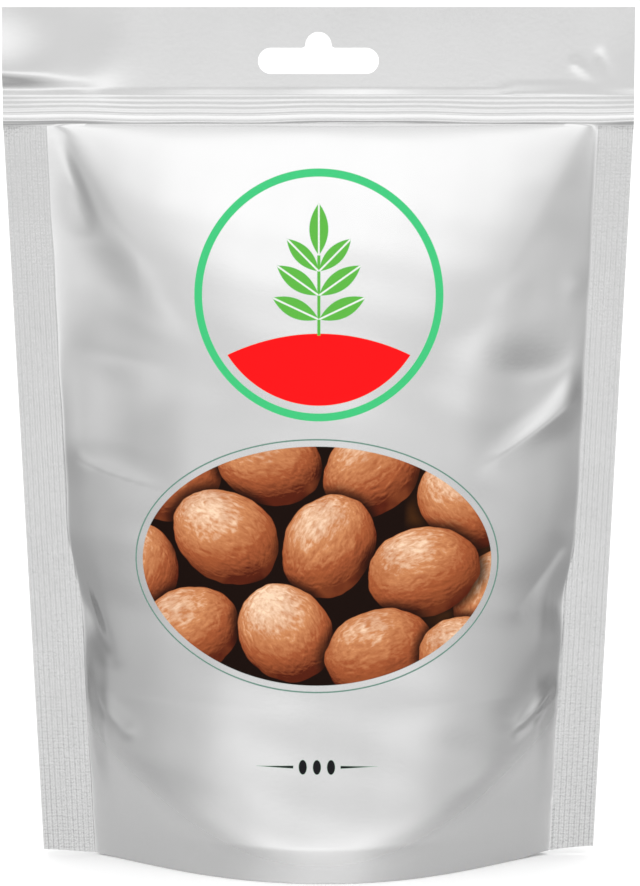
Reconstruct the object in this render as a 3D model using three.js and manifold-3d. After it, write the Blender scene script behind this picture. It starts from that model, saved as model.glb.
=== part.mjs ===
// A shut stand-up pouch of silver film, filled and standing, with welded side seals, a zip band
// across the top and a hang slot in the header. Millimetres, +Z up. The front faces -Y, and the
// pouch stands on z = 0 with its middle on the Z axis.
import * as THREE from 'three';
import { mergeVertices } from 'three/addons/utils/BufferGeometryUtils.js';
import Module from 'manifold-3d';

// The film
const HEIGHT = 221.2;
const TOP_WIDTH = 160;
const BASE_WIDTH = 144; // the filled base draws the sides in
const FILM = 0.8; // both films and their weld, at the header and the seals

// Side seals, wider at the foot where the corners of the base are welded flat
const LEFT_SEAL = 11;
const RIGHT_SEAL = 9;
const LEFT_FOOT_FLARE = 2;
const RIGHT_FOOT_FLARE = 9;
const FLARE_HEIGHT = 45;

// The filled body between the seals
const BASE_BULGE = 27.3; // how far the front and the back each swell at the foot
const SWELL_POWER = 0.55; // how fast the swelling dies away towards the zip
const LENS_POWER = 2.1; // the body's section, a little fuller than a parabola
const EASE_POWER = 1.12; // how the section eases out of the seals
const SKIRT = 9; // the welded edge below the base, which stands upright
const LEFT_CORNER_LIFT = 1.3;
const RIGHT_CORNER_LIFT = 2.2;
const LIFT_FROM = 50; // how far from the middle the bottom edge starts to lift

// The zip band and its ribs
const ZIP_LOW = 191.6;
const ZIP_HIGH = 199.2;
const RIB_HEIGHT = 0.55;
const RIBS = [
  { z: 193.0, halfWidth: 1.2, height: RIB_HEIGHT },
  { z: 195.6, halfWidth: 0.8, height: RIB_HEIGHT / 2 },
  { z: 197.8, halfWidth: 1.0, height: RIB_HEIGHT / 2 },
];

// The hang slot: a long round-ended slot with a dome above its middle
const SLOT_WIDTH = 30.6;
const SLOT_HEIGHT = 6.6;
const SLOT_LOW = 204.3;
const DOME_RADIUS = 3.3;
const DOME_RISE = 0.7; // the dome's centre above the slot's top edge
const DOME_FOOT = 4.1; // half the dome's width where it meets the slot
const ARC_STEPS = 8;

// The dished underside, inside the flat rim that the pouch stands on
const DISH_HALF_WIDTH = 46;
const DISH_HALF_DEPTH = 19;
const DISH_RISE = 3;

// The main folds of the film, as lines across the front. The back has the same ones, seen from behind.
const FOLDS = [
  { name: 'left shoulder', from: [-66, 187], to: [-49, 141], reach: 7, depth: 1.6 },
  { name: 'right shoulder', from: [67, 186], to: [60, 150], reach: 7, depth: 1.2 },
  { name: 'right waist', from: [66, 119], to: [50, 109], reach: 5, depth: 2.2 },
  { name: 'right hip', from: [60, 80], to: [51, 69], reach: 5, depth: 1.6 },
  { name: 'left foot', from: [-61, 43], to: [-53, 34], reach: 4, depth: 1.8 },
  { name: 'right foot', from: [62, 44], to: [51, 34], reach: 4, depth: 2.4 },
];

// The mesh: columns in each seal and in the body, and rows in each band of height
const SEAL_COLUMNS = 2;
const BODY_COLUMNS = 30;
const COLUMNS = SEAL_COLUMNS * 2 + BODY_COLUMNS;
const SHOULDER = 14; // the height below the zip where the rows lie closer

function steps(from, to, count) {
  return Array.from({ length: count }, (_, i) => from + ((to - from) * (i + 1)) / count);
}

const ROWS = [
  0,
  ...steps(0, SKIRT, 3),
  ...steps(SKIRT, ZIP_LOW - SHOULDER, 26),
  ...steps(ZIP_LOW - SHOULDER, ZIP_LOW, 5),
  ...steps(ZIP_LOW, ZIP_HIGH, 10),
  ...steps(ZIP_HIGH, HEIGHT, 3),
];

function halfWidth(z) {
  const share = Math.min(z / ZIP_LOW, 1);
  return THREE.MathUtils.lerp(BASE_WIDTH, TOP_WIDTH, share) / 2;
}

// The inner edges of the two side seals at a height
function bodyEdges(z) {
  const flare = Math.max(1 - z / FLARE_HEIGHT, 0) ** 2;
  const left = -halfWidth(z) + LEFT_SEAL + LEFT_FOOT_FLARE * flare;
  const right = halfWidth(z) - RIGHT_SEAL - RIGHT_FOOT_FLARE * flare;
  return [left, right];
}

function columnX(column, z) {
  const [left, right] = bodyEdges(z);
  const half = halfWidth(z);
  if (column <= SEAL_COLUMNS) {
    return THREE.MathUtils.lerp(-half, left, column / SEAL_COLUMNS);
  }
  const inBody = column - SEAL_COLUMNS;
  if (inBody <= BODY_COLUMNS) {
    return THREE.MathUtils.lerp(left, right, inBody / BODY_COLUMNS);
  }
  return THREE.MathUtils.lerp(right, half, (inBody - BODY_COLUMNS) / SEAL_COLUMNS);
}

// How far the filled body stands out from the flat film
function swell(x, z) {
  const [left, right] = bodyEdges(z);
  const across = Math.abs((2 * x - left - right) / (right - left));
  const below = Math.max(ZIP_LOW - Math.max(z, SKIRT), 0) / (ZIP_LOW - SKIRT);
  const lens = Math.max(1 - across ** LENS_POWER, 0) ** EASE_POWER;
  return BASE_BULGE * below ** SWELL_POWER * lens;
}

function zipRelief(z) {
  let relief = 0;
  for (const rib of RIBS) {
    const off = Math.abs(z - rib.z) / rib.halfWidth;
    if (off < 1) {
      relief += rib.height * Math.cos((off * Math.PI) / 2);
    }
  }
  return relief;
}

// How deep the folds lie at a point of the film
function foldDepth(x, z) {
  const point = new THREE.Vector3(x, 0, z);
  let depth = 0;
  for (const fold of FOLDS) {
    const line = new THREE.Line3(
      new THREE.Vector3(fold.from[0], 0, fold.from[1]),
      new THREE.Vector3(fold.to[0], 0, fold.to[1]),
    );
    const nearest = line.closestPointToPoint(point, true, new THREE.Vector3());
    const off = nearest.distanceTo(point) / fold.reach;
    depth += fold.depth * Math.exp(-off * off);
  }
  return depth;
}

// The bottom edge lifts off the surface towards its two corners
function cornerLift(x, z) {
  const most = x < 0 ? LEFT_CORNER_LIFT : RIGHT_CORNER_LIFT;
  const out = Math.max(Math.abs(x) - LIFT_FROM, 0) / (halfWidth(0) - LIFT_FROM);
  const low = Math.max(1 - z / FLARE_HEIGHT, 0);
  return most * THREE.MathUtils.smoothstep(out, 0, 1) * low;
}

// A point of the film: side is -1 on the front and 1 on the back. A fold takes at most half of the swelling.
function filmPoint(column, row, side) {
  const z = ROWS[row];
  const x = columnX(column, z);
  const stands = swell(x, z);
  const folded = Math.min(foldDepth(x * -side, z), stands / 2);
  const y = side * (FILM / 2 + stands - folded + zipRelief(z));
  return new THREE.Vector3(x, y, z + cornerLift(x, z));
}

// The filled pouch: a box of many cells, with each corner of its cells set on the film
function filledPouch() {
  const rows = ROWS.length - 1;
  const geometry = new THREE.BoxGeometry(2, 2, 2, COLUMNS, 1, rows);
  const corners = geometry.attributes.position;
  for (let i = 0; i < corners.count; i += 1) {
    const column = Math.round(((corners.getX(i) + 1) / 2) * COLUMNS);
    const row = Math.round(((corners.getZ(i) + 1) / 2) * rows);
    const point = filmPoint(column, row, Math.sign(corners.getY(i)));
    corners.setXYZ(i, point.x, point.y, point.z);
  }
  return geometry;
}

// The hang slot as a block that reaches past both faces of the header
function slotBlock() {
  const radius = SLOT_HEIGHT / 2;
  const end = SLOT_WIDTH / 2 - radius;
  const middle = SLOT_LOW + radius;
  const top = SLOT_LOW + SLOT_HEIGHT;
  const domeCentre = top + DOME_RISE;
  const outline = new THREE.Shape();
  outline.moveTo(-end, SLOT_LOW);
  outline.lineTo(end, SLOT_LOW);
  outline.absarc(end, middle, radius, -Math.PI / 2, Math.PI / 2);
  outline.lineTo(DOME_FOOT, top);
  outline.quadraticCurveTo(DOME_RADIUS, top, DOME_RADIUS, domeCentre);
  outline.absarc(0, domeCentre, DOME_RADIUS, 0, Math.PI);
  outline.quadraticCurveTo(-DOME_RADIUS, top, -DOME_FOOT, top);
  outline.lineTo(-end, top);
  outline.absarc(-end, middle, radius, Math.PI / 2, (Math.PI * 3) / 2);
  const depth = 10 * FILM;
  const block = new THREE.ExtrudeGeometry(outline, { depth, bevelEnabled: false, curveSegments: ARC_STEPS });
  block.rotateX(Math.PI / 2);
  block.translate(0, depth / 2, 0);
  return block;
}

// The dish of the underside, as a flattened ball on the surface that the pouch stands on
function dishBall() {
  const ball = new THREE.SphereGeometry(1, 32, 12);
  ball.scale(DISH_HALF_WIDTH, DISH_HALF_DEPTH, DISH_RISE);
  return ball;
}

const wasm = await Module();
wasm.setup();

function toSolid(geometry) {
  const bare = geometry.clone();
  bare.deleteAttribute('normal');
  bare.deleteAttribute('uv');
  const merged = mergeVertices(bare, 1e-4);
  return new wasm.Manifold(
    new wasm.Mesh({
      numProp: 3,
      vertProperties: Float32Array.from(merged.attributes.position.array),
      triVerts: Uint32Array.from(merged.index.array),
    }),
  );
}

function toGeometry(solid) {
  const mesh = solid.getMesh();
  const geometry = new THREE.BufferGeometry();
  geometry.setAttribute('position', new THREE.BufferAttribute(mesh.vertProperties, mesh.numProp));
  geometry.setIndex(new THREE.BufferAttribute(mesh.triVerts, 1));
  geometry.computeVertexNormals();
  return geometry;
}

function pouch() {
  const solid = toSolid(filledPouch()).subtract(toSolid(slotBlock())).subtract(toSolid(dishBall()));
  const film = new THREE.MeshStandardMaterial({ color: 0xd2d4d4, roughness: 0.35, metalness: 1 });
  const mesh = new THREE.Mesh(toGeometry(solid), film);
  mesh.name = 'pouch';
  return mesh;
}

const part = new THREE.Group();
part.add(pouch());

export default part;
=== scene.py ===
"""A shut stand-up pouch of silver film: welded side seals, a zip band, a hang slot and a printed front.

The shape is worked out in millimetres, x across, z up and y into the picture, and becomes one mesh in
metres. The print is drawn by the film's own nodes, on the flat x and z of the front.
"""
import math

import bpy
import numpy as np
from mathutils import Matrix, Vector


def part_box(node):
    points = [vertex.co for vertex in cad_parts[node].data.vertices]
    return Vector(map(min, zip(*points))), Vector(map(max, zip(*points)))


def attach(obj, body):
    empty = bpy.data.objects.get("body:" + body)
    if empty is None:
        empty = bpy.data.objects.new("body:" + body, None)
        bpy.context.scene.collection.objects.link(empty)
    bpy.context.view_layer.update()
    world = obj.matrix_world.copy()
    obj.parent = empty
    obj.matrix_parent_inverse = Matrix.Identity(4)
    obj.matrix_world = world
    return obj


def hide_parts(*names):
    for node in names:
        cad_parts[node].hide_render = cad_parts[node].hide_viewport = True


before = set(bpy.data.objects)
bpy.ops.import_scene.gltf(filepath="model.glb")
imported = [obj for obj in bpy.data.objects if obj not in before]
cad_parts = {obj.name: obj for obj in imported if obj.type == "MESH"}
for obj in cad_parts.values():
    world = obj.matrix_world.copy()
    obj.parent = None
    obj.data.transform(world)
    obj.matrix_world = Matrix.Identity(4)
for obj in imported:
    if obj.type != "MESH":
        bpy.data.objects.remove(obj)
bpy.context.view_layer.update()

MM = 0.001
TINY = 1e-6

# The film's outer sizes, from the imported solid
SOLID_LOW, SOLID_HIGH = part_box("pouch")
HEIGHT = SOLID_HIGH.z / MM
TOP_WIDTH = (SOLID_HIGH.x - SOLID_LOW.x) / MM
SOLID_FILM = 0.8
BASE_BULGE = (SOLID_HIGH.y - SOLID_LOW.y) / MM / 2 - SOLID_FILM / 2
BASE_WIDTH = 0.9 * TOP_WIDTH  # the filled base draws the sides in
FILM = 0.5

# Side seals. The waver of their inner edges is a sum of waves, and so are the zip's: each has its height,
# its length for one radian and its start in radians
LEFT_SEAL = 11.0
RIGHT_SEAL = 9.0
FOOT_SEAL = 2.4  # how much wider both are below the hips
HIPS = (66.0, 88.0)
SEAL_WAVER = ((0.12, 7.5, 0.0), (0.08, 3.1, 1.0))
SEAL_WAVER_FADE = 20.0
RIB_PITCH = 1.35
RIB_HEIGHT = 0.09
RIB_EDGE = 0.8  # how far inside the seal they reach their full height
RIB_END = 1.0  # how far below the zip they end
RIB_FADE = 3.0

# The filled body
SWELL_POWER = 0.55
LENS_POWER = 2.2
TOP_LENS = 3.0
TOP_LENS_FROM = 115.0
EASE_POWER = 1.02
FOOT_EASE = 0.3
LEFT_TOP_EASE = 0.3
LEFT_TOP = (115.0, 145.0)
LEFT_TOP_BLEND = 60.0
SKIRT = 9.0
LEFT_CORNER_LIFT = 1.3
RIGHT_CORNER_LIFT = 2.2
LIFT_FROM = 50.0
LIFT_HEIGHT = 45.0

# Slack film beside the seals, where the filling doesn't reach: under each shoulder from a height on the
# seal, widening downwards by its lean until the shoulder ends, with the share of the swelling that is
# missing, and in strips, with their middle height, half height, width, lean inwards and missing share
LEFT_SHOULDER = (194.0, 0.40, 0.36)
RIGHT_SHOULDER = (190.0, 0.37, 0.2)
SHOULDER_END = (131.0, 152.0)
SHOULDER_FADE = 8.0  # the width of its soft inner edge, and how that grows downwards
SHOULDER_GROWTH = 0.3
LEFT_STRIPS = ((183.0, 22.0, 5.0, 0.36, 0.9), (67.0, 16.0, 3.0, 0.34, 0.5))
RIGHT_STRIPS = ((68.0, 12.0, 2.5, 0.0, 0.4),)
STRIP_FADE = 5.0

# A bend of the film at each waist: its height on the seal, the run above it in which the film falls in, how
# it slants down inwards, its width, its depth and the heights between which the film comes out again
LEFT_BEND = (106.0, 9.0, 0.25, 26.0, 2.2, (115.0, 136.0))
RIGHT_BEND = (122.0, 8.0, 0.64, 26.0, 2.6, (126.0, 145.0))
BEND_START = 20.0
BEND_END = 1.25  # where it has died away, in widths

# The curved weld of the base across the front and the back
WELD_LOW = 8.9
WELD_CURVE = 0.00876
WELD_LEAN = 0.075
WELD_FADE = 24.0
WELD_ROUND = 1.8

# The film's faint unevenness: broad waves that sway with the height, and fine ones that slant both ways,
# with their heights, their lengths for one radian in x and z, and their starts in radians
BROAD_WAVE = 0.16
BROAD_LENGTH = (9.0, 13.0)
BROAD_START = 0.4
SWAY = 0.7
SWAY_LENGTH = 17.0
FINE_WAVE = 0.05
FINE_FALL = (3.7, 5.3)
FINE_START = 1.3
FINE_RISE = (6.1, 4.1)

# The zip band: its rim, its fine ribs, and the round rib and lip along its foot
ZIP_LOW = 191.6
ZIP_HIGH = 199.2
ZIP_WAVER = ((0.22, 13.0, 0.6), (0.1, 4.7, 2.0))
ZIP_WAVER_FADE = 3.0
ZIP_STAND = 0.3
ZIP_SHARE = 0.75  # how much of its stand it has, and the waves of that
ZIP_SHARE_WAVES = ((0.2, 17.0, 1.0), (0.15, 6.3, 0.0))
ZIP_RIM = 0.7
ZIP_LIP = 1.3
ZIP_LIP_DROP = 0.4
ZIP_FINE_PITCH = 1.18
ZIP_FINE_RELIEF = 0.009
ZIP_FINE_LOW = 195.0
ZIP_FINE_EDGE = 0.3
ZIP_GROOVE = 194.1
ZIP_GROOVE_REACH = 0.5
ZIP_GROOVE_DEPTH = 0.11
ZIP_RIB = 192.4
ZIP_RIB_REACH = 1.0
ZIP_RIB_RELIEF = 0.14

# The hang slot
SLOT_WIDTH = 30.6
SLOT_HEIGHT = 6.6
SLOT_LOW = 204.3
DOME_RADIUS = 3.3
DOME_RISE = 0.7
DOME_FOOT = 4.1
DOME_EASE = (0.7, 0.3)  # the middle of the curve into it, as shares of its width and its height
ARC_STEPS = 24
SLOT_REACH = 4.0  # how far the block that cuts it stands out on both sides

# Folds of the front film, as lines from a start to an end in x and z, with how far they reach on their
# upper and lower sides and their relief: above 0 they stand out, and below 0 they lie in. The back has the
# same ones, seen from behind.
FOLDS = [
    ("left shoulder", (-68, 189), (-60, 168), 3.5, 3.0, -0.5),
    ("left hip crease", (-62, 74), (-53, 54), 2.6, 1.4, -0.6),
    ("left foot ridge", (-63, 46.5), (-50, 35.5), 3.0, 1.6, 1.3),
    ("left foot nick", (-59.5, 27), (-58.5, 15), 0.9, 0.7, -0.3),
    ("left waist lip", (-69, 106.5), (-56, 102), 4.0, 8.0, 1.0),
    ("right upper ridge", (70, 151), (60, 150), 4.0, 5.0, 0.5),
    ("right waist lip", (68, 124), (46, 110), 6.0, 6.0, 1.5),
    ("right foot valley", (61, 51.5), (50, 39), 4.5, 2.2, -1.4),
    ("right foot pleat", (63.5, 46.8), (53, 37.2), 1.2, 1.0, 0.9),
    ("right foot crease", (63, 43.6), (51, 34.7), 0.8, 1.2, -0.9),
    ("right corner bend", (44, 31), (36, 14), 8.0, 4.0, 0.2),
]

# Creases in the same form, which are sharp at their line and fade away slowly on both sides
CREASES = [
    ("right hip", (62.5, 82), (51.5, 67), 4.0, 3.0, -1.6),
]

# Puckers of the flat film in the header and the seals, in the same form
PUCKERS = [
    ("left roll", (-84, 205.3), (-60, 203.6), 12.0, 3.0, 2.0),
    ("right tuck", (48, 200.1), (80, 200.3), 1.1, 0.8, 0.2),
    ("right crumple", (65, 207), (70, 203), 1.2, 1.2, 0.16),
    ("right corner", (71, 209), (74, 203), 1.4, 1.0, -0.14),
    ("left fin tuck", (-80, 194), (-69, 194), 12.0, 5.0, 0.65),
    ("right fin tuck", (80, 194), (69, 194), 12.0, 5.0, 0.5),
    ("right seal line", (70.9, 190), (69.3, 150), 0.5, 0.5, -0.12),
    ("right foot line", (61.2, 14), (62.6, 46), 0.5, 0.5, -0.12),
]

# How far inside the seals the folds reach their full relief, how much they have at the seals, how much of
# it is gone at their ends, and how much of the swelling they can take
FOLD_START = 6.0
FOLD_AT_SEAL = 0.1
FOLD_FADE = 0.75
FOLD_SHARE = 0.6
FOLD_SOFTNESS = 0.001

# The swelling and the distance below the zip from which the weld and the unevenness show in full
CALM_SWELL = 5.0
CALM_ZIP = 4.0

# The mesh: columns in the left seal, left flank, middle, right flank and right seal, and bands of rows
FLANK = 22.0
COLUMNS = (32, 30, 40, 30, 27)
ROWS = (
    (0.0, 14.0, 20),
    (14.0, 60.0, 62),
    (60.0, 130.0, 74),
    (130.0, 186.0, 46),
    (186.0, ZIP_LOW, 12),
    (ZIP_LOW, ZIP_HIGH, 44),
    (ZIP_HIGH, HEIGHT, 22),
)

# The folded base film seen from below: how far it stands above the rim, what share of that its middle hangs
# lower, the depth of the pouch from which it opens and the run in which it does, how far inside the rim it
# starts to rise and the run in which it does, its middle fold, and its slope up to the sides
BASE_RISE = 6.0
BASE_SAG = 0.5
BASE_OPENS = (3.0, 18.0)
BASE_RIM = (0.6, 2.2)
BASE_FOLD_HEIGHT = 0.8
BASE_FOLD_REACH = 0.9
BASE_SLOPE = 0.03
BASE_STEPS = (0.0, 0.012, 0.03, 0.05, 0.08, 0.12, 0.18, 0.26, 0.35, 0.43, 0.48, 0.5)

# The camera of the photograph: its picture's height and focal length in pixels, and where it stands
PICTURE_HEIGHT = 886
FOCAL_PIXELS = 3884.0
SENSOR = 36.0
CAMERA_DISTANCE = 1000.0
CAMERA_RISE = math.radians(10.0)
CAMERA_TARGET = (0.39, 0.0, 109.4)
CAMERA_RANGE = (0.01, 50.0)  # metres

# The studio's light as the film sees it, by height in degrees: in front and behind, and at both sides. The
# front gives way to the side between two turns away from it, in degrees. Round the wall's middle height it
# is a wide wall, and further up and down a narrower panel takes over.
FRONT_LIGHT = (
    (-90, 0.8),
    (-62, 0.66),
    (-45, 0.4),
    (-26, 0.70),
    (-19, 0.84),
    (-11, 1.22),
    (-2, 0.69),
    (4, 0.74),
    (8, 0.92),
    (14, 1.17),
    (40, 1.17),
    (90, 0.9),
)
SIDE_LIGHT = (
    (-90, 0.8),
    (-62, 0.6),
    (-40, 0.30),
    (-20, 0.37),
    (-14, 0.40),
    (-8, 0.31),
    (-2, 0.26),
    (4, 0.29),
    (11, 0.44),
    (18, 0.58),
    (40, 0.66),
    (90, 0.9),
)
LEFT_SHARE = 1.03
RIGHT_SHARE = 0.97
SIDES_BLEND = 0.4
WALL_TURN = (28, 80)
PANEL_TURN = (0, 50)
WALL_MIDDLE = -0.5
WALL_REACH = (4, 20)

# The white backdrop, the lamp above and the floor
BACKDROP_LIGHT = 1.0
LAMP_LIGHT = 2.0
LAMP_SPREAD = 70.0
FLOOR_REACH = 6.0  # metres
FLOOR_DROP = 0.0001  # metres
FLOOR_GREY = 0.93
FLOOR_ROUGHNESS = 0.9

# Film and ink, with the film's clouds and grain, which change its roughness and its grey a little, the
# weave across the ribs of the seals, and bumps with their height in metres and their strength
NOISE_RANGE = (0.3, 0.7)  # where most of a noise lies
WIDE_NOISE_RANGE = (0.2, 0.8)
FILM_GREY = 0.86
SEAL_GREY = 0.75
FILM_ROUGHNESS = 0.19
CLOUD_SCALE = 0.06
CLOUD_ROUGHNESS = 0.03
GRAIN_SCALE = 2.4
GRAIN_ROUGHNESS = 0.02
GRAIN_GREY = 0.012
WELD_MILK = 0.33
WELD_MILK_EDGE = (-7.0, 9.0)
FILM_BUMP_SCALE = 0.9
FILM_BUMP = (0.00006, 0.15)
WEFT_PITCH = 0.92
WEFT_DRIFT = 1.5
WEFT_DRIFT_SCALE = 0.25
WEFT_SHARE = 0.1
WEFT_LEAST = 0.2  # how much of it is left between the ribs
WEAVE_SHARE = 0.3
SPECK_SHARE = 0.5
SPECK_SCALE = 1.3
SEAL_BUMP = (0.00020, 0.8)
INK_ROUGHNESS = 0.55
INK_GLOSS = 0.06
GREEN = (0.055, 0.55, 0.2)
LEAF_GREEN = (0.11, 0.45, 0.06)
RED = (0.95, 0.006, 0.008)
PALE = (0.80, 0.83, 0.80)
CHARCOAL = (0.012, 0.012, 0.014)
RING_GREEN = (0.13, 0.25, 0.20)
INK_EDGE = 0.09
LEAST_SLOPE = 1e-4

# The oval picture, in the film's x and z
OVAL_CENTRE = (-0.4, 81.3)
OVAL_HALF_WIDTH = 46.5
OVAL_HALF_HEIGHT = 32.2
OVAL_LINE = 0.4
OVAL_RING = 1.5
GAP_BROWN = (0.010, 0.0035, 0.002)
GROUND_OCHRE = (0.40, 0.13, 0.02)
OCHRE_FROM = (22.0, 40.0)
NUT_SHADE = (0.09, 0.013, 0.004)
NUT_BROWN = (0.36, 0.090, 0.030)
NUT_TAN = (0.60, 0.245, 0.10)
NUT_LIGHT = (0.93, 0.68, 0.48)
NUT_RED = (0.38, 0.10, 0.03)
PICTURE_LIGHT = (-0.30, 0.62, 0.72)
NUT_LEVELS = (-0.1, 0.42, 0.8, 1.15)  # where the shade, the brown, the tan and the light are full
NUT_SHADOW = (0.95, 1.6, 0.9)  # where it starts and ends, and its share at the start
NUT_EDGE = 0.015
NUT_GRAIN = (2.0, 3.0, 3.0)
NUT_SPREAD = (0.37, 0.41, 0.05)  # sets the nuts' skins apart
LUMP_SCALE = 0.11
LUMP_HEIGHT = 0.07
BLUSH_SCALE = 0.09
BLUSH_RANGE = (0.45, 0.75)
BLUSH_SHARE = 0.5
WRINKLE_SCALE = 1.5
WRINKLE_SHIFT = 0.05
WRINKLE_DEPTH = 1.3

# Printed nuts from the back of the heap to its front: centre from the oval's centre, half length, half
# width, turn in degrees and tone
NUTS = [
    (-37, 21, 13.0, 10.5, 20, -0.10),
    (-12, 26, 13.5, 10.5, -12, 0.0),
    (14, 24, 13.0, 11.0, 35, -0.05),
    (38, 15, 13.5, 10.5, -40, 0.05),
    (-46, -3, 12.5, 10.5, 75, 0.0),
    (46, -10, 13.0, 11.0, 65, -0.08),
    (-23, 7, 14.0, 11.5, -28, 0.06),
    (3, 5, 13.5, 11.5, 62, 0.02),
    (27, -2, 14.5, 11.5, 8, 0.0),
    (-33, -18, 14.0, 11.0, 32, -0.04),
    (-8, -17, 13.0, 11.5, -50, 0.10),
    (16, -22, 14.0, 11.0, 15, -0.06),
    (38, -25, 12.5, 10.5, -30, 0.0),
]

# The round badge above it
BADGE_CENTRE = (0.1, 149.4)
BADGE_RADIUS = 31.5
BADGE_LINE = 2.0
FIELD_RADIUS = 27.6
HILL_RADIUS = 52.0
HILL_TOP = -9.5
STEM_LOW = -10.0
STEM_HIGH = 10.0
STEM_WIDTH = 0.8
VEIN_HALF_WIDTH = 0.22

# Its leaves: the foot's height on the stem, turn in degrees, length and width
LEAVES = [
    (-6, 155, 13.0, 4.8),
    (-6, 25, 13.0, 4.8),
    (0, 145, 13.0, 4.8),
    (0, 35, 13.0, 4.8),
    (6, 135, 11.5, 4.2),
    (6, 45, 11.5, 4.2),
    (10, 90, 13.0, 4.8),
]

# The small ornament near the foot
ORNAMENT_CENTRE = (-0.4, 30.2)
ORNAMENT_HALF_WIDTH = 15.5
RULE_FROM = 6.0
RULE_HEIGHT = 0.38
SEED_STEP = 3.6
SEED_HALF_WIDTH = 1.05
SEED_HALF_HEIGHT = 1.9

# Which faces look to the front or the back, how far below the zip the pressed film ends, how far round the
# prints a face takes their film, and the angle from which an edge is sharp
FACING = 0.2
PRESSED_GAP = 0.5
PRINT_LOW = 20.0
PRINT_GAP = 5.0
PRINT_MARGIN = 3.0
OVAL_MARGIN = (3.0, 2.0)
SHARP_ANGLE = 55.0

# The map that the film is baked on: the lower left corner and the scale for each millimetre, of the printed
# front, of the back, of faces that look up or down and of the thin side edges
BAKE_FRONT = (0.006, 0.006, 0.00437)
BAKE_BACK = (0.718, 0.006, 0.00172)
BAKE_LEVEL = (0.718, 0.40, 0.00172)
BAKE_EDGE = (0.72, 0.53, 0.002)
BAKE_MARGIN = 1.0


def smooth(value):
    """Eases from 0 to 1."""
    share = np.clip(value, 0, 1)
    return share * share * (3 - 2 * share)


def waves(place, terms):
    """The sum of waves along a place, each with its height, its length for one radian and its start."""
    return sum(height * np.sin(place / length + start) for height, length, start in terms)


def half_width(z):
    share = np.minimum(z / ZIP_LOW, 1)
    return (BASE_WIDTH + (TOP_WIDTH - BASE_WIDTH) * share) / 2


def seal_edges(z):
    """The inner edges of the two side seals, which waver a little."""
    waver = waves(z, SEAL_WAVER) * smooth((ZIP_LOW - z) / SEAL_WAVER_FADE)
    wider = FOOT_SEAL * smooth((HIPS[1] - z) / (HIPS[1] - HIPS[0]))
    return -half_width(z) + LEFT_SEAL + wider + waver, half_width(z) - RIGHT_SEAL - wider + waver


def bell(value):
    """A smooth hump, 1 at 0 and 0 from 1 outwards."""
    return smooth(1 - np.abs(value))


def slack_side(inside, z, shoulder, strips):
    """The share of the swelling that stays at a distance inside one seal."""
    top, shoulder_lean, missing = shoulder
    down = np.clip(top - z, 0, None)
    shown = smooth((z - SHOULDER_END[0]) / (SHOULDER_END[1] - SHOULDER_END[0]))
    filled = smooth((inside - shoulder_lean * down) / (SHOULDER_FADE + SHOULDER_GROWTH * down) + 0.5)
    kept = 1 - missing * shown * (1 - filled)
    for middle, half, width, lean, share in strips:
        past = smooth((inside - width - lean * (middle - z)) / STRIP_FADE + 0.5)
        kept = kept * (1 - share * bell((z - middle) / half) * (1 - past))
    return kept


def bend_depth(inside, z, bend):
    """How far the film lies in above a bend at one seal: it sets in sharply and eases out upwards."""
    height, run, slant, width, depth, ends = bend
    above = z - height + slant * inside
    rise = np.clip(above / run, 0, 1)
    ease = smooth((ends[1] - z) / (ends[1] - ends[0]))
    beside = smooth(inside / BEND_START + FOLD_AT_SEAL) * smooth(BEND_END - inside / width)
    return depth * rise * (2 - rise) * ease * beside


def swell(x, z):
    """How far the filled body stands out from the flat film."""
    left, right = seal_edges(z)
    across = np.minimum(np.abs((2 * x - left - right) / (right - left)), 1)
    below = np.clip(ZIP_LOW - np.maximum(z, SKIRT), 0, None) / (ZIP_LOW - SKIRT)
    ease = EASE_POWER + FOOT_EASE * np.clip(1 - z / LIFT_HEIGHT, 0, 1)
    left_top = smooth((z - LEFT_TOP[0]) / (LEFT_TOP[1] - LEFT_TOP[0])) * smooth(0.5 - x / LEFT_TOP_BLEND)
    ease = ease + LEFT_TOP_EASE * left_top
    power = LENS_POWER + TOP_LENS * smooth((z - TOP_LENS_FROM) / (ZIP_LOW - TOP_LENS_FROM))
    full = BASE_BULGE * below**SWELL_POWER * (1 - across**power) ** ease
    left_kept = slack_side(x - left, z, LEFT_SHOULDER, LEFT_STRIPS)
    right_kept = slack_side(right - x, z, RIGHT_SHOULDER, RIGHT_STRIPS)
    return full * left_kept * right_kept


def weld_relief(x, z):
    """The film leans out from its bottom edge to the base's curved weld, and eases back above it."""
    height = WELD_LOW + WELD_CURVE * x**2
    above = WELD_ROUND * np.logaddexp(0, (z - height) / WELD_ROUND)
    return WELD_LEAN * (z - above) * np.exp(-above / WELD_FADE)


def fold_relief(x, z, folds, power=2):
    """How far folds stand out or lie in. A power of 2 makes them round, and 1 sharp at their line."""
    total = np.zeros_like(x)
    for _, start, end, upper_reach, lower_reach, height in folds:
        run = np.array(end) - np.array(start)
        length = np.hypot(*run)
        along = ((x - start[0]) * run[0] + (z - start[1]) * run[1]) / length**2
        nearest = np.clip(along, 0, 1)
        off_x = x - start[0] - nearest * run[0]
        off_z = z - start[1] - nearest * run[1]
        off = np.hypot(off_x, off_z)
        up = np.array((-run[1], run[0])) / length * (1 if run[0] > 0 else -1)
        upper = 0.5 + 0.5 * (off_x * up[0] + off_z * up[1]) / (off + TINY)
        reach = lower_reach + (upper_reach - lower_reach) * upper
        fade = 1 - FOLD_FADE * smooth(nearest)
        total += height * fade * np.exp(-((off / reach) ** power))
    return total


def soft_waves(x, z):
    """The film's faint unevenness."""
    sway = SWAY * np.sin(z / SWAY_LENGTH)
    broad = BROAD_WAVE * np.sin(x / BROAD_LENGTH[0] + sway) * np.sin(z / BROAD_LENGTH[1] + BROAD_START)
    falling = np.sin(x / FINE_FALL[0] + z / FINE_FALL[1] + FINE_START)
    rising = np.sin(z / FINE_RISE[1] - x / FINE_RISE[0])
    return broad + FINE_WAVE * falling * rising


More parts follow.
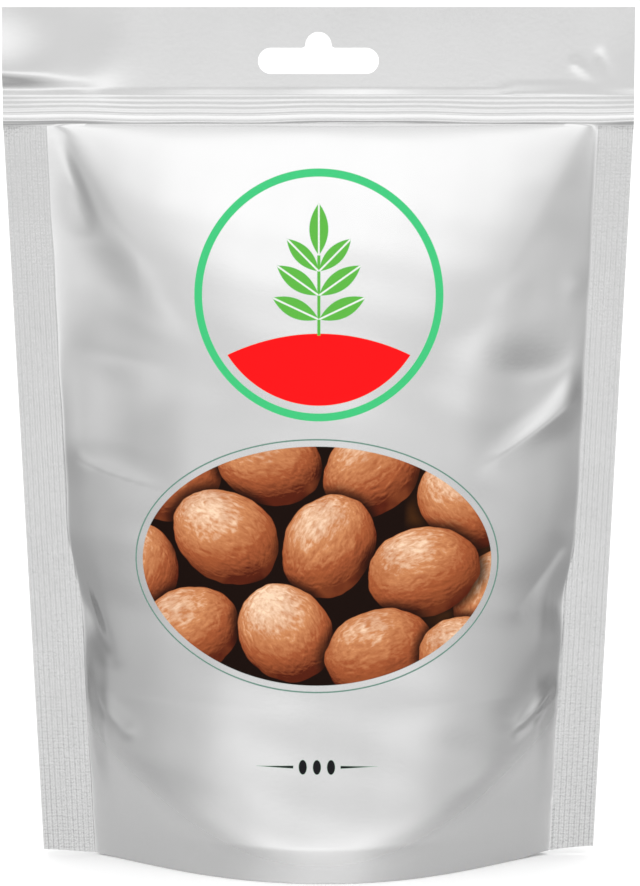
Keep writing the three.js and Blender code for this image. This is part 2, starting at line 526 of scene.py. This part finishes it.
def zip_relief(x, z):
    """How far the zip band, its ribs and its groove stand out from the flat film."""
    z = z - waves(x, ZIP_WAVER) * smooth((ZIP_HIGH - z) / ZIP_WAVER_FADE)
    share = ZIP_SHARE + waves(x, ZIP_SHARE_WAVES)
    rim = smooth((ZIP_HIGH + ZIP_RIM - z) / ZIP_RIM)
    lip = smooth((z - ZIP_LOW + ZIP_LIP_DROP) / ZIP_LIP)
    fine = smooth((z - ZIP_FINE_LOW) / ZIP_FINE_EDGE) * smooth((ZIP_HIGH - z) / ZIP_FINE_EDGE)
    ribs = ZIP_FINE_RELIEF * fine * np.cos(2 * math.pi * (ZIP_HIGH - z) / ZIP_FINE_PITCH)
    groove = ZIP_GROOVE_DEPTH * np.exp(-(((z - ZIP_GROOVE) / ZIP_GROOVE_REACH) ** 2))
    rib = ZIP_RIB_RELIEF * np.exp(-(((z - ZIP_RIB) / ZIP_RIB_REACH) ** 2))
    return share * ZIP_STAND * rim * lip + ribs - groove + rib


def seal_relief(x, z):
    """Fine upright ribs pressed into the side seals."""
    left, right = seal_edges(z)
    inside = np.maximum(left - x, x - right)
    shown = smooth(inside / RIB_EDGE) * smooth((ZIP_LOW - RIB_END - z) / RIB_FADE)
    edge = half_width(z) - np.abs(x)
    return RIB_HEIGHT * shown * np.cos(2 * math.pi * edge / RIB_PITCH)


def corner_lift(x, z):
    """How far the bottom edge lifts off the floor towards its two corners."""
    most = np.where(x < 0, LEFT_CORNER_LIFT, RIGHT_CORNER_LIFT)
    out = (np.abs(x) - LIFT_FROM) / (half_width(0.0) - LIFT_FROM)
    return most * smooth(out) * np.clip(1 - z / LIFT_HEIGHT, 0, 1)


def film_depth(x, z, side):
    """How far the film stands from the pouch's middle plane. Side is -1 on the front and 1 on the back."""
    seen = x * -side
    stands = swell(x, z)
    left, right = seal_edges(z)
    near = smooth(np.minimum(x - left, right - x) / FOLD_START + FOLD_AT_SEAL)
    from_left, from_right = (x - left, right - x) if side < 0 else (right - x, x - left)
    bends = bend_depth(from_left, z, LEFT_BEND) + bend_depth(from_right, z, RIGHT_BEND)
    folds = near * (fold_relief(seen, z, FOLDS) + fold_relief(seen, z, CREASES, power=1) - bends)
    room = FOLD_SHARE * stands
    folds = np.where(folds < 0, folds * room / (room - folds + FOLD_SOFTNESS), folds)
    shaped = smooth(stands / CALM_SWELL) * (weld_relief(x, z) + soft_waves(seen, z)) + folds
    below_zip = smooth((ZIP_LOW - z) / CALM_ZIP)
    flat = zip_relief(seen, z) + seal_relief(x, z) + fold_relief(seen, z, PUCKERS)
    return FILM / 2 + np.maximum(stands + below_zip * shaped, 0) + np.maximum(flat, -FILM / 4)


def row_heights():
    heights = [np.linspace(low, high, count, endpoint=False) for low, high, count in ROWS]
    return np.concatenate([*heights, [HEIGHT]])


def column_places(z):
    """x of every column in every row of heights z."""
    left, right = seal_edges(z)
    half = half_width(z)
    edges = (-half, left, left + FLANK, right - FLANK, right, half)
    bands = []
    for low, high, count in zip(edges, edges[1:], COLUMNS):
        share = np.arange(count) / count
        bands.append(low[:, None] + (high - low)[:, None] * share)
    return np.concatenate([*bands, half[:, None]], axis=1)


def base_grid(front, back):
    """Points of the folded base film between the bottom edges of the front and the back."""
    shares = [*BASE_STEPS[1:], *[1 - step for step in BASE_STEPS[-2:0:-1]]]
    x = front[:, 0]
    wide = back[:, 1] - front[:, 1]
    room = smooth((wide - BASE_OPENS[0]) / BASE_OPENS[1])
    rows = []
    for share in shares:
        row = front + (back - front) * share
        from_rim = wide * min(share, 1 - share)
        rise = smooth((from_rim - BASE_RIM[0]) / BASE_RIM[1])
        sag = BASE_SAG * smooth(min(share, 1 - share) / 0.5)
        fold = BASE_FOLD_HEIGHT * np.exp(-((wide * (share - 0.5) / BASE_FOLD_REACH) ** 2))
        row[:, 2] += room * (BASE_RISE * rise * (1 - sag) + fold + BASE_SLOPE * np.abs(x) * rise)
        rows.append(row)
    return rows


def pouch_mesh():
    """The closed film: front, back, both side edges, the top edge and the base, as one mesh in metres."""
    heights = row_heights()
    x = column_places(heights)
    z = np.repeat(heights[:, None], x.shape[1], axis=1)
    row_count, column_count = x.shape
    lifted = z + corner_lift(x, z)
    points = []
    for side in (-1, 1):
        y = side * film_depth(x, z, side)
        points.append(np.stack([x, y, lifted], axis=2).reshape(-1, 3))
    base = base_grid(points[0][:column_count], points[1][:column_count])
    places = np.concatenate([*points, *base]) * MM

    grid = np.arange(row_count * column_count).reshape(row_count, column_count)
    front, back = grid, grid + grid.size
    under = [front[0]]
    for step in range(len(base)):
        under.append(2 * grid.size + step * column_count + np.arange(column_count))
    under.append(back[0])

    def quads(a, b, c, d):
        return np.stack([a.ravel(), b.ravel(), c.ravel(), d.ravel()], axis=1).tolist()

    faces = quads(front[:-1, :-1], front[:-1, 1:], front[1:, 1:], front[1:, :-1])
    faces += quads(back[:-1, :-1], back[1:, :-1], back[1:, 1:], back[:-1, 1:])
    faces += quads(front[-1, :-1], front[-1, 1:], back[-1, 1:], back[-1, :-1])
    faces += quads(back[1:-1, 0], front[1:-1, 0], front[2:, 0], back[2:, 0])
    faces += quads(front[1:-1, -1], back[1:-1, -1], back[2:, -1], front[2:, -1])
    for near, far in zip(under, under[1:]):
        faces += quads(near[:-1], far[:-1], far[1:], near[1:])
    left_end = [int(row[0]) for row in reversed(under)]
    right_end = [int(row[-1]) for row in under]
    faces.append([*left_end, int(front[1, 0]), int(back[1, 0])])
    faces.append([*right_end, int(back[1, -1]), int(front[1, -1])])

    mesh = bpy.data.meshes.new("pouch_film")
    mesh.from_pydata(places.tolist(), [], faces)
    mesh.update()
    return mesh


def arc(centre_x, centre_z, radius, start, end):
    turns = np.linspace(math.radians(start), math.radians(end), ARC_STEPS)
    return [(centre_x + radius * math.cos(t), centre_z + radius * math.sin(t)) for t in turns]


def slot_outline():
    """The hang slot: a long round-ended slot with a dome on its middle, eased into it on both sides."""
    radius = SLOT_HEIGHT / 2
    end = SLOT_WIDTH / 2 - radius
    middle = SLOT_LOW + radius
    top = SLOT_LOW + SLOT_HEIGHT
    dome = top + DOME_RISE
    ease_x = DOME_FOOT - (DOME_FOOT - DOME_RADIUS) * DOME_EASE[0]
    ease_z = top + DOME_RISE * DOME_EASE[1]
    points = arc(end, middle, radius, -90, 90)
    points += [(DOME_FOOT, top), (ease_x, ease_z)]
    points += arc(0, dome, DOME_RADIUS, 0, 180)
    points += [(-ease_x, ease_z), (-DOME_FOOT, top)]
    points += arc(-end, middle, radius, 90, 270)
    return points


def slot_cutter():
    """A block of the slot's outline that reaches past both faces of the header."""
    outline = slot_outline()
    count = len(outline)
    places = [(x * MM, y * MM, z * MM) for y in (-SLOT_REACH, SLOT_REACH) for x, z in outline]
    faces = [list(range(count)), list(range(2 * count - 1, count - 1, -1))]
    for i in range(count):
        after = (i + 1) % count
        faces.append([i, i + count, after + count, after])
    mesh = bpy.data.meshes.new("slot_cutter")
    mesh.from_pydata(places, [], faces)
    cutter = bpy.data.objects.new("slot_cutter", mesh)
    bpy.context.collection.objects.link(cutter)
    return cutter


def cut_slot(piece):
    cutter = slot_cutter()
    cut = piece.modifiers.new("hang_slot", "BOOLEAN")
    cut.operation = "DIFFERENCE"
    cut.solver = "MANIFOLD"
    cut.object = cutter
    ready = piece.evaluated_get(bpy.context.evaluated_depsgraph_get())
    cut_mesh = bpy.data.meshes.new_from_object(ready)
    piece.modifiers.clear()
    piece.data = cut_mesh
    bpy.data.objects.remove(cutter)


class Nodes:
    """Short ways to add nodes to a tree and to join them."""

    def __init__(self, tree):
        self.tree = tree
        tree.nodes.clear()

    def add(self, kind, **settings):
        node = self.tree.nodes.new(kind)
        for name, value in settings.items():
            setattr(node, name, value)
        return node

    def put(self, socket, value):
        if isinstance(value, bpy.types.NodeSocket):
            self.tree.links.new(value, socket)
        elif isinstance(value, tuple) and len(value) == 3 and socket.type == "RGBA":
            socket.default_value = (*value, 1.0)
        else:
            socket.default_value = value

    def math(self, operation, *values, clamp=False):
        node = self.add("ShaderNodeMath", operation=operation, use_clamp=clamp)
        for socket, value in zip(node.inputs, values):
            self.put(socket, value)
        return node.outputs[0]

    def vector(self, operation, *values):
        node = self.add("ShaderNodeVectorMath", operation=operation)
        for socket, value in zip(node.inputs, values):
            self.put(socket, value)
        scalar = operation in ("DOT_PRODUCT", "LENGTH", "DISTANCE")
        return node.outputs["Value" if scalar else "Vector"]

    def scaled(self, vector, factor):
        node = self.add("ShaderNodeVectorMath", operation="SCALE")
        self.put(node.inputs[0], vector)
        self.put(node.inputs["Scale"], factor)
        return node.outputs["Vector"]

    def joined(self, x, y, z):
        node = self.add("ShaderNodeCombineXYZ")
        for socket, value in zip(node.inputs, (x, y, z)):
            self.put(socket, value)
        return node.outputs[0]

    def split(self, vector):
        node = self.add("ShaderNodeSeparateXYZ")
        self.put(node.inputs[0], vector)
        return node.outputs[0], node.outputs[1], node.outputs[2]

    def ramp(self, value, low, high, first=0.0, last=1.0, kind="LINEAR"):
        """Maps value from low..high to first..last, and holds the ends."""
        node = self.add("ShaderNodeMapRange", interpolation_type=kind, clamp=True)
        for socket, number in zip(node.inputs, (value, low, high, first, last)):
            self.put(socket, number)
        return node.outputs[0]

    def mix(self, share, first, second):
        """Mixes two colours, whose sockets come after those for numbers and vectors."""
        node = self.add("ShaderNodeMix", data_type="RGBA", clamp_factor=True)
        self.put(node.inputs[0], share)
        self.put(node.inputs[6], first)
        self.put(node.inputs[7], second)
        return node.outputs[2]

    def noise(self, vector, scale, detail=3.0, roughness=0.55):
        node = self.add("ShaderNodeTexNoise", noise_dimensions="3D")
        self.put(node.inputs["Vector"], vector)
        self.put(node.inputs["Scale"], scale)
        self.put(node.inputs["Detail"], detail)
        self.put(node.inputs["Roughness"], roughness)
        return node.outputs[0]

    def inside(self, distance):
        """1 where a signed distance in millimetres is below 0, with a fine soft edge."""
        return self.ramp(distance, -INK_EDGE, INK_EDGE, 1.0, 0.0)

    def both(self, first, second):
        return self.math("MULTIPLY", first, second)

    def either(self, first, second):
        return self.math("MAXIMUM", first, second)


def film_place(nodes):
    """The film's own place in millimetres."""
    place = nodes.add("ShaderNodeTexCoord").outputs["Object"]
    return nodes.scaled(place, 1 / MM)


def weld_mask(nodes, place):
    """1 on the welded film below the base's curved weld."""
    x, _, z = nodes.split(place)
    height = nodes.math("MULTIPLY_ADD", nodes.both(x, x), WELD_CURVE, WELD_LOW)
    return nodes.ramp(nodes.math("SUBTRACT", height, z), *WELD_MILK_EDGE, 0.0, 1.0, "SMOOTHSTEP")


def film_shader(nodes, place, ink=None, colour=None, bump=None, shade=FILM_GREY, milk=WELD_MILK):
    """Satin metallised film, milky at its welded foot, with ink over it where a print is given."""
    cloud = nodes.noise(place, CLOUD_SCALE)
    grain = nodes.noise(place, GRAIN_SCALE, detail=2.0)
    dull = nodes.ramp(cloud, *NOISE_RANGE, FILM_ROUGHNESS - CLOUD_ROUGHNESS,
                      FILM_ROUGHNESS + CLOUD_ROUGHNESS)
    milky = nodes.both(weld_mask(nodes, place), milk)
    fine = nodes.ramp(grain, *NOISE_RANGE, -GRAIN_ROUGHNESS, GRAIN_ROUGHNESS)
    rough = nodes.math("ADD", dull, fine)
    metal = nodes.math("SUBTRACT", 1.0, milky)
    grey = nodes.ramp(grain, *WIDE_NOISE_RANGE, shade - GRAIN_GREY, shade + GRAIN_GREY)
    film = nodes.joined(grey, grey, grey)
    shader = nodes.add("ShaderNodeBsdfPrincipled")
    if ink is None:
        nodes.put(shader.inputs["Base Color"], film)
        nodes.put(shader.inputs["Metallic"], metal)
        nodes.put(shader.inputs["Roughness"], rough)
    else:
        nodes.put(shader.inputs["Base Color"], nodes.mix(ink, film, colour))
        nodes.put(shader.inputs["Metallic"], nodes.both(metal, nodes.math("SUBTRACT", 1.0, ink)))
        nodes.put(shader.inputs["Roughness"], nodes.ramp(ink, 0.0, 1.0, rough, INK_ROUGHNESS))
        nodes.put(shader.inputs["Specular IOR Level"], INK_GLOSS)
    if bump is not None:
        nodes.put(shader.inputs["Normal"], bump)
    output = nodes.add("ShaderNodeOutputMaterial")
    nodes.put(output.inputs["Surface"], shader.outputs[0])


def bumped(nodes, height, distance, strength):
    node = nodes.add("ShaderNodeBump")
    nodes.put(node.inputs["Strength"], strength)
    nodes.put(node.inputs["Distance"], distance)
    nodes.put(node.inputs["Height"], height)
    return node.outputs[0]


def film_bump(nodes, place):
    return bumped(nodes, nodes.noise(place, FILM_BUMP_SCALE, detail=2.0), *FILM_BUMP)


def new_material(name):
    material = bpy.data.materials.new(name)
    material.use_nodes = True
    return material, Nodes(material.node_tree)


def film_material():
    material, nodes = new_material("film")
    place = film_place(nodes)
    film_shader(nodes, place, bump=film_bump(nodes, place))
    return material


def seal_material():
    """Film pressed between ribbed jaws: upright ribs with a fine weave across them."""
    material, nodes = new_material("film_seal")
    place = film_place(nodes)
    x, _, z = nodes.split(place)
    slant = (TOP_WIDTH - BASE_WIDTH) / 2 / ZIP_LOW
    edge = nodes.math("SUBTRACT", nodes.math("ABSOLUTE", x), nodes.math("MULTIPLY", z, slant))
    drift = nodes.noise(place, WEFT_DRIFT_SCALE, detail=2.0)
    drift = nodes.ramp(drift, 0.0, 1.0, -WEFT_DRIFT, WEFT_DRIFT)
    turn = 2 * math.pi
    ribs = nodes.math("COSINE", nodes.math("MULTIPLY", edge, turn / RIB_PITCH))
    weft = nodes.math("SINE", nodes.math("MULTIPLY_ADD", z, turn / WEFT_PITCH, drift))
    crossing = nodes.both(weft, nodes.ramp(ribs, -1, 1, WEFT_LEAST, 1))
    weave = nodes.math("MULTIPLY_ADD", crossing, WEFT_SHARE, ribs)
    speck = nodes.noise(place, SPECK_SCALE, roughness=0.7)
    height = nodes.math("MULTIPLY_ADD", speck, SPECK_SHARE, nodes.math("MULTIPLY", weave, WEAVE_SHARE))
    film_shader(nodes, place, bump=bumped(nodes, height, *SEAL_BUMP), shade=SEAL_GREY, milk=0.0)
    return material


def wrinkles(nodes, skin):
    """The height of a nut's skin, which branching furrows run along."""
    rough = nodes.noise(skin, WRINKLE_SCALE, roughness=0.5)
    return nodes.math("ABSOLUTE", nodes.math("SUBTRACT", rough, 0.5))


def printed_nut(nodes, point, lumps, blush, under, spot):
    """Paints one nut over what is under it: an egg with a furrowed skin, and a soft shadow round it."""
    centre_x, centre_z, half_long, half_wide, turn, tone = spot
    cos, sin = math.cos(math.radians(turn)), math.sin(math.radians(turn))
    off = nodes.vector("SUBTRACT", point, (centre_x, centre_z, 0.0))
    u = nodes.vector("DOT_PRODUCT", off, (cos / half_long, sin / half_long, 0.0))
    v = nodes.vector("DOT_PRODUCT", off, (-sin / half_wide, cos / half_wide, 0.0))
    square = nodes.math("ADD", nodes.both(u, u), nodes.both(v, v))
    from_centre = nodes.math("ADD", square, lumps)
    w = nodes.math("SQRT", nodes.math("MAXIMUM", nodes.math("SUBTRACT", 1.0, from_centre), 0.0))
    light = np.array((
        PICTURE_LIGHT[0] * cos + PICTURE_LIGHT[1] * sin,
        -PICTURE_LIGHT[0] * sin + PICTURE_LIGHT[1] * cos,
        PICTURE_LIGHT[2],
    ))
    normal = nodes.joined(u, v, w)
    shade = nodes.vector("DOT_PRODUCT", normal, tuple(light))
    skin = nodes.vector("MULTIPLY", normal, NUT_GRAIN)
    apart = np.array((centre_x, centre_z, turn)) * np.array(NUT_SPREAD)
    skin = nodes.vector("ADD", skin, tuple(apart))
    towards = nodes.vector("ADD", skin, tuple(light * np.array(NUT_GRAIN) * WRINKLE_SHIFT))
    rise = nodes.math("SUBTRACT", wrinkles(nodes, skin), wrinkles(nodes, towards))
    level = nodes.math("MULTIPLY_ADD", rise, WRINKLE_DEPTH, nodes.math("ADD", shade, tone))
    colour = NUT_SHADE
    for low, high, lighter in zip(NUT_LEVELS, NUT_LEVELS[1:], (NUT_BROWN, NUT_TAN, NUT_LIGHT)):
        colour = nodes.mix(nodes.ramp(level, low, high), colour, lighter)
    colour = nodes.mix(blush, colour, NUT_RED)
    shadow = nodes.ramp(from_centre, *NUT_SHADOW, 0.0, "SMOOTHSTEP")
    shaded = nodes.mix(shadow, under, GAP_BROWN)
    mask = nodes.ramp(from_centre, 1 - NUT_EDGE, 1 + NUT_EDGE, 1.0, 0.0)
    return nodes.mix(mask, shaded, colour)


def ellipse_distance(nodes, point, half_long, half_high):
    """About how far a point lies outside an ellipse, in millimetres."""
    share = nodes.vector("MULTIPLY", point, (1 / half_long, 1 / half_high, 0.0))
    length = nodes.vector("LENGTH", share)
    steep = nodes.vector("MULTIPLY", point, (1 / half_long**2, 1 / half_high**2, 0.0))
    slope = nodes.math("MAXIMUM", nodes.vector("LENGTH", steep), LEAST_SLOPE)
    over = nodes.math("MULTIPLY", length, nodes.math("SUBTRACT", length, 1.0))
    return nodes.math("DIVIDE", over, slope)


def oval_print(nodes, flat):
    """The oval picture: a heap of nuts on a dark ground, and a thin green line round it at a distance."""
    point = nodes.vector("SUBTRACT", flat, (*OVAL_CENTRE, 0.0))
    outer = ellipse_distance(nodes, point, OVAL_HALF_WIDTH, OVAL_HALF_HEIGHT)
    x, _, _ = nodes.split(point)
    colour = nodes.mix(nodes.ramp(x, *OCHRE_FROM), GAP_BROWN, GROUND_OCHRE)
    lumps = nodes.noise(point, LUMP_SCALE, detail=2.0)
    lumps = nodes.ramp(lumps, *NOISE_RANGE, -LUMP_HEIGHT, LUMP_HEIGHT)
    blush = nodes.ramp(nodes.noise(point, BLUSH_SCALE), *BLUSH_RANGE, 0.0, BLUSH_SHARE)
    for spot in NUTS:
        colour = printed_nut(nodes, point, lumps, blush, colour, spot)
    picture = nodes.inside(nodes.math("ADD", outer, OVAL_LINE + OVAL_RING))
    line = nodes.both(nodes.inside(outer), nodes.inside(nodes.math("SUBTRACT", -OVAL_LINE, outer)))
    colour = nodes.mix(picture, RING_GREEN, colour)
    return nodes.either(picture, line), colour


def leaf_mask(nodes, point, leaf):
    """A leaf as a lens from its foot on the stem, and its pale vein."""
    foot, turn, length, width = leaf
    cos, sin = math.cos(math.radians(turn)), math.sin(math.radians(turn))
    off = nodes.vector("SUBTRACT", point, (0.0, foot, 0.0))
    along = nodes.vector("DOT_PRODUCT", off, (cos / length, sin / length, 0.0))
    aside = nodes.math("ABSOLUTE", nodes.vector("DOT_PRODUCT", off, (-sin, cos, 0.0)))
    rest = nodes.math("MULTIPLY", along, nodes.math("SUBTRACT", 1.0, along))
    edge = nodes.math("MULTIPLY", rest, 2 * width)
    shape = nodes.inside(nodes.math("SUBTRACT", aside, edge))
    vein = nodes.both(nodes.inside(nodes.math("SUBTRACT", aside, VEIN_HALF_WIDTH)), shape)
    return shape, vein


def badge_print(nodes, flat):
    """The round badge: a green ring round a sprig of leaves on a red hill."""
    point = nodes.vector("SUBTRACT", flat, (*BADGE_CENTRE, 0.0))
    x, z, _ = nodes.split(point)
    out = nodes.vector("LENGTH", point)
    disc = nodes.inside(nodes.math("SUBTRACT", out, BADGE_RADIUS))
    hollow = nodes.inside(nodes.math("SUBTRACT", out, BADGE_RADIUS - BADGE_LINE))
    ink = nodes.both(disc, nodes.math("SUBTRACT", 1.0, hollow))
    colour = GREEN
    bowl = nodes.inside(nodes.math("SUBTRACT", out, FIELD_RADIUS))
    from_hill = nodes.vector("DISTANCE", point, (0.0, HILL_TOP - HILL_RADIUS, 0.0))
    hill = nodes.both(bowl, nodes.inside(nodes.math("SUBTRACT", from_hill, HILL_RADIUS)))
    colour = nodes.mix(hill, colour, RED)
    beside = nodes.inside(nodes.math("SUBTRACT", nodes.math("ABSOLUTE", x), STEM_WIDTH / 2))
    from_middle = nodes.math("ABSOLUTE", nodes.math("SUBTRACT", z, (STEM_HIGH + STEM_LOW) / 2))
    tall = nodes.inside(nodes.math("SUBTRACT", from_middle, (STEM_HIGH - STEM_LOW) / 2))
    sprig = nodes.both(beside, tall)
    veins = None
    for leaf in LEAVES:
        shape, vein = leaf_mask(nodes, point, leaf)
        sprig = nodes.either(sprig, shape)
        veins = vein if veins is None else nodes.either(veins, vein)
    colour = nodes.mix(sprig, colour, LEAF_GREEN)
    colour = nodes.mix(veins, colour, PALE)
    ink = nodes.either(nodes.either(ink, hill), sprig)
    return ink, colour


def ornament_print(nodes, flat):
    """A small charcoal ornament: three seeds between two tapering rules."""
    point = nodes.vector("SUBTRACT", flat, (*ORNAMENT_CENTRE, 0.0))
    x, z, _ = nodes.split(point)
    beside = nodes.math("ABSOLUTE", x)
    level = nodes.math("ABSOLUTE", z)
    taper = nodes.ramp(beside, RULE_FROM, ORNAMENT_HALF_WIDTH, RULE_HEIGHT, 0.0)
    rule = nodes.inside(nodes.math("SUBTRACT", level, taper))
    ends = nodes.both(nodes.inside(nodes.math("SUBTRACT", RULE_FROM, beside)),
                      nodes.inside(nodes.math("SUBTRACT", beside, ORNAMENT_HALF_WIDTH)))
    mask = nodes.both(rule, ends)
    for step in (-1, 0, 1):
        seed = nodes.vector("SUBTRACT", point, (step * SEED_STEP, 0.0, 0.0))
        mask = nodes.either(mask, nodes.inside(
            ellipse_distance(nodes, seed, SEED_HALF_WIDTH, SEED_HALF_HEIGHT)))
    return mask


def print_film(name, drawing):
    """Film with a drawing over it, which gives the ink's share and its colour."""
    material, nodes = new_material(name)
    place = film_place(nodes)
    x, _, z = nodes.split(place)
    ink, colour = drawing(nodes, nodes.joined(x, z, 0.0))
    film_shader(nodes, place, ink, colour, film_bump(nodes, place))
    return material


def line_print(nodes, flat):
    """The badge and the ornament."""
    badge, badge_colour = badge_print(nodes, flat)
    ornament = ornament_print(nodes, flat)
    return nodes.either(badge, ornament), nodes.mix(ornament, badge_colour, CHARCOAL)


def face_numbers(mesh, name, width):
    numbers = np.empty(len(mesh.polygons) * width)
    mesh.polygons.foreach_get(name, numbers)
    return numbers.reshape(-1, width)


def dress(piece):
    """Gives each face its film: plain, pressed in the side seals, or with a print on the front."""
    mesh = piece.data
    mesh.materials.clear()
    prints = (print_film("film_print", line_print), print_film("film_picture", oval_print))
    for material in (film_material(), seal_material(), *prints):
        mesh.materials.append(material)
    centre = face_numbers(mesh, "center", 3) / MM
    normal = face_numbers(mesh, "normal", 3)
    x, z = centre[:, 0], centre[:, 2]
    left, right = seal_edges(z)
    seal = ((x < left) | (x > right)) & (z < ZIP_LOW - PRESSED_GAP)
    front = normal[:, 1] < -FACING
    shown = front & (np.abs(x) < BADGE_RADIUS + PRINT_MARGIN) & (z > PRINT_LOW) & (z < ZIP_LOW - PRINT_GAP)
    from_oval = np.hypot(
        (x - OVAL_CENTRE[0]) / (OVAL_HALF_WIDTH + OVAL_MARGIN[0]),
        (z - OVAL_CENTRE[1]) / (OVAL_HALF_HEIGHT + OVAL_MARGIN[1]),
    )
    kinds = np.select([seal, front & (from_oval < 1), shown], [1, 3, 2], 0).astype(np.int32)
    mesh.polygons.foreach_set("material_index", kinds)
    mesh.polygons.foreach_set("use_smooth", np.ones(len(kinds), bool))
    mesh.set_sharp_from_angle(angle=math.radians(SHARP_ANGLE))
    mesh.update()


def lay_out(mesh):
    """Lays the faces out flat for baking, with most of the map for the printed front."""
    corners = np.empty(len(mesh.loops), np.int32)
    mesh.loops.foreach_get("vertex_index", corners)
    places = np.empty(len(mesh.vertices) * 3)
    mesh.vertices.foreach_get("co", places)
    x, y, z = (places.reshape(-1, 3)[corners] / MM).T
    counts = face_numbers(mesh, "loop_total", 1)[:, 0].astype(int)
    normal_x, normal_y, normal_z = np.repeat(face_numbers(mesh, "normal", 3), counts, axis=0).T
    level = np.abs(normal_z) > np.abs(normal_x)
    kinds = [normal_y < -FACING, normal_y > FACING, level, ~level]
    across = x + TOP_WIDTH / 2
    deep = y + BASE_BULGE + BAKE_MARGIN
    flat = [(across, z), (across, z), (across, deep), (deep, z)]
    tiles = (BAKE_FRONT, BAKE_BACK, BAKE_LEVEL, BAKE_EDGE)
    u = np.select(kinds, [low + scale * place for (low, _, scale), (place, _) in zip(tiles, flat)])
    v = np.select(kinds, [low + scale * place for (_, low, scale), (_, place) in zip(tiles, flat)])
    layer = mesh.uv_layers.new(name="OFBake")
    layer.data.foreach_set("uv", np.stack([u, v], axis=1).astype(np.float32).ravel())


def make_pouch():
    piece = bpy.data.objects.new("pouch_film", pouch_mesh())
    bpy.context.collection.objects.link(piece)
    cut_slot(piece)
    dress(piece)
    lay_out(piece.data)
    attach(piece, "root")
    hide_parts("pouch")


def make_floor():
    mesh = bpy.data.meshes.new("floor")
    turns = [(-1, -1), (1, -1), (1, 1), (-1, 1)]
    corners = [(x * FLOOR_REACH, y * FLOOR_REACH, -FLOOR_DROP) for x, y in turns]
    mesh.from_pydata(corners, [], [[0, 1, 2, 3]])
    floor = bpy.data.objects.new("floor", mesh)
    bpy.context.collection.objects.link(floor)
    material, nodes = new_material("floor")
    shader = nodes.add("ShaderNodeBsdfPrincipled")
    nodes.put(shader.inputs["Base Color"], (FLOOR_GREY, FLOOR_GREY, FLOOR_GREY))
    nodes.put(shader.inputs["Roughness"], FLOOR_ROUGHNESS)
    output = nodes.add("ShaderNodeOutputMaterial")
    nodes.put(output.inputs["Surface"], shader.outputs[0])
    mesh.materials.append(material)
    floor.visible_glossy = False


def light_by_height(nodes, z, levels):
    """Light that changes with the height of a direction, from pairs of degrees and levels."""
    ramp = nodes.add("ShaderNodeValToRGB")
    ramp.color_ramp.interpolation = "EASE"
    nodes.put(ramp.inputs[0], nodes.ramp(z, -1.0, 1.0))
    stops = ramp.color_ramp.elements
    while len(stops) < len(levels):
        stops.new(0.5)
    for stop, (degrees, level) in zip(stops, levels):
        stop.position = (math.sin(math.radians(degrees)) + 1) / 2
        stop.color = (level, level, level, 1.0)
    return nodes.split(ramp.outputs[0])[0]


def make_studio():
    """Soft light from all round: bright in front, behind and above, and dimmer at both sides."""
    world = bpy.data.worlds.new("studio")
    world.use_nodes = True
    bpy.context.scene.world = world
    nodes = Nodes(world.node_tree)
    x, y, z = nodes.split(nodes.add("ShaderNodeTexCoord").outputs["Generated"])
    beside = nodes.math("ABSOLUTE", x)
    ahead = nodes.math("ABSOLUTE", y)
    turned = nodes.math("DEGREES", nodes.math("ARCTAN2", beside, ahead))
    height = nodes.math("DEGREES", nodes.math("ARCSINE", z))
    front = light_by_height(nodes, z, FRONT_LIGHT)
    side = light_by_height(nodes, z, SIDE_LIGHT)
    side = nodes.both(side, nodes.ramp(x, -SIDES_BLEND, SIDES_BLEND, LEFT_SHARE, RIGHT_SHARE))
    wall = nodes.ramp(turned, *WALL_TURN, 1.0, 0.0)
    panel = nodes.ramp(turned, *PANEL_TURN, 1.0, 0.0, "SMOOTHSTEP")
    from_wall = nodes.math("ABSOLUTE", nodes.math("SUBTRACT", height, WALL_MIDDLE))
    share = nodes.ramp(nodes.ramp(from_wall, *WALL_REACH), 0.0, 1.0, wall, panel)
    level = nodes.ramp(share, 0.0, 1.0, side, front)
    light = nodes.add("ShaderNodeBackground")
    nodes.put(light.inputs["Strength"], level)
    backdrop = nodes.add("ShaderNodeBackground")
    nodes.put(backdrop.inputs["Strength"], BACKDROP_LIGHT)
    for node in (light, backdrop):
        nodes.put(node.inputs["Color"], (1.0, 1.0, 1.0))
    choice = nodes.add("ShaderNodeMixShader")
    nodes.put(choice.inputs[0], nodes.add("ShaderNodeLightPath").outputs["Is Camera Ray"])
    nodes.put(choice.inputs[1], light.outputs[0])
    nodes.put(choice.inputs[2], backdrop.outputs[0])
    output = nodes.add("ShaderNodeOutputWorld")
    nodes.put(output.inputs["Surface"], choice.outputs[0])


def make_lamp():
    """Wide soft light from straight above, which mostly lights the floor."""
    data = bpy.data.lights.new("soft_lamp", "SUN")
    data.energy = LAMP_LIGHT
    data.angle = math.radians(LAMP_SPREAD)
    lamp = bpy.data.objects.new("soft_lamp", data)
    lamp.visible_glossy = False
    bpy.context.collection.objects.link(lamp)


def make_camera():
    data = bpy.data.cameras.new("camera")
    data.sensor_width = SENSOR
    data.lens = FOCAL_PIXELS / PICTURE_HEIGHT * SENSOR
    data.dof.use_dof = False
    data.clip_start, data.clip_end = CAMERA_RANGE
    camera = bpy.data.objects.new("camera", data)
    target = Vector(CAMERA_TARGET) * MM
    back = Vector((0.0, -math.cos(CAMERA_RISE), math.sin(CAMERA_RISE)))
    camera.location = target + back * CAMERA_DISTANCE * MM
    camera.rotation_mode = "QUATERNION"
    camera.rotation_quaternion = (-back).to_track_quat("-Z", "Y")
    bpy.context.collection.objects.link(camera)
    bpy.context.scene.camera = camera


bpy.context.scene.view_settings.view_transform = "Standard"
make_camera()
make_studio()
make_lamp()
make_floor()
make_pouch()
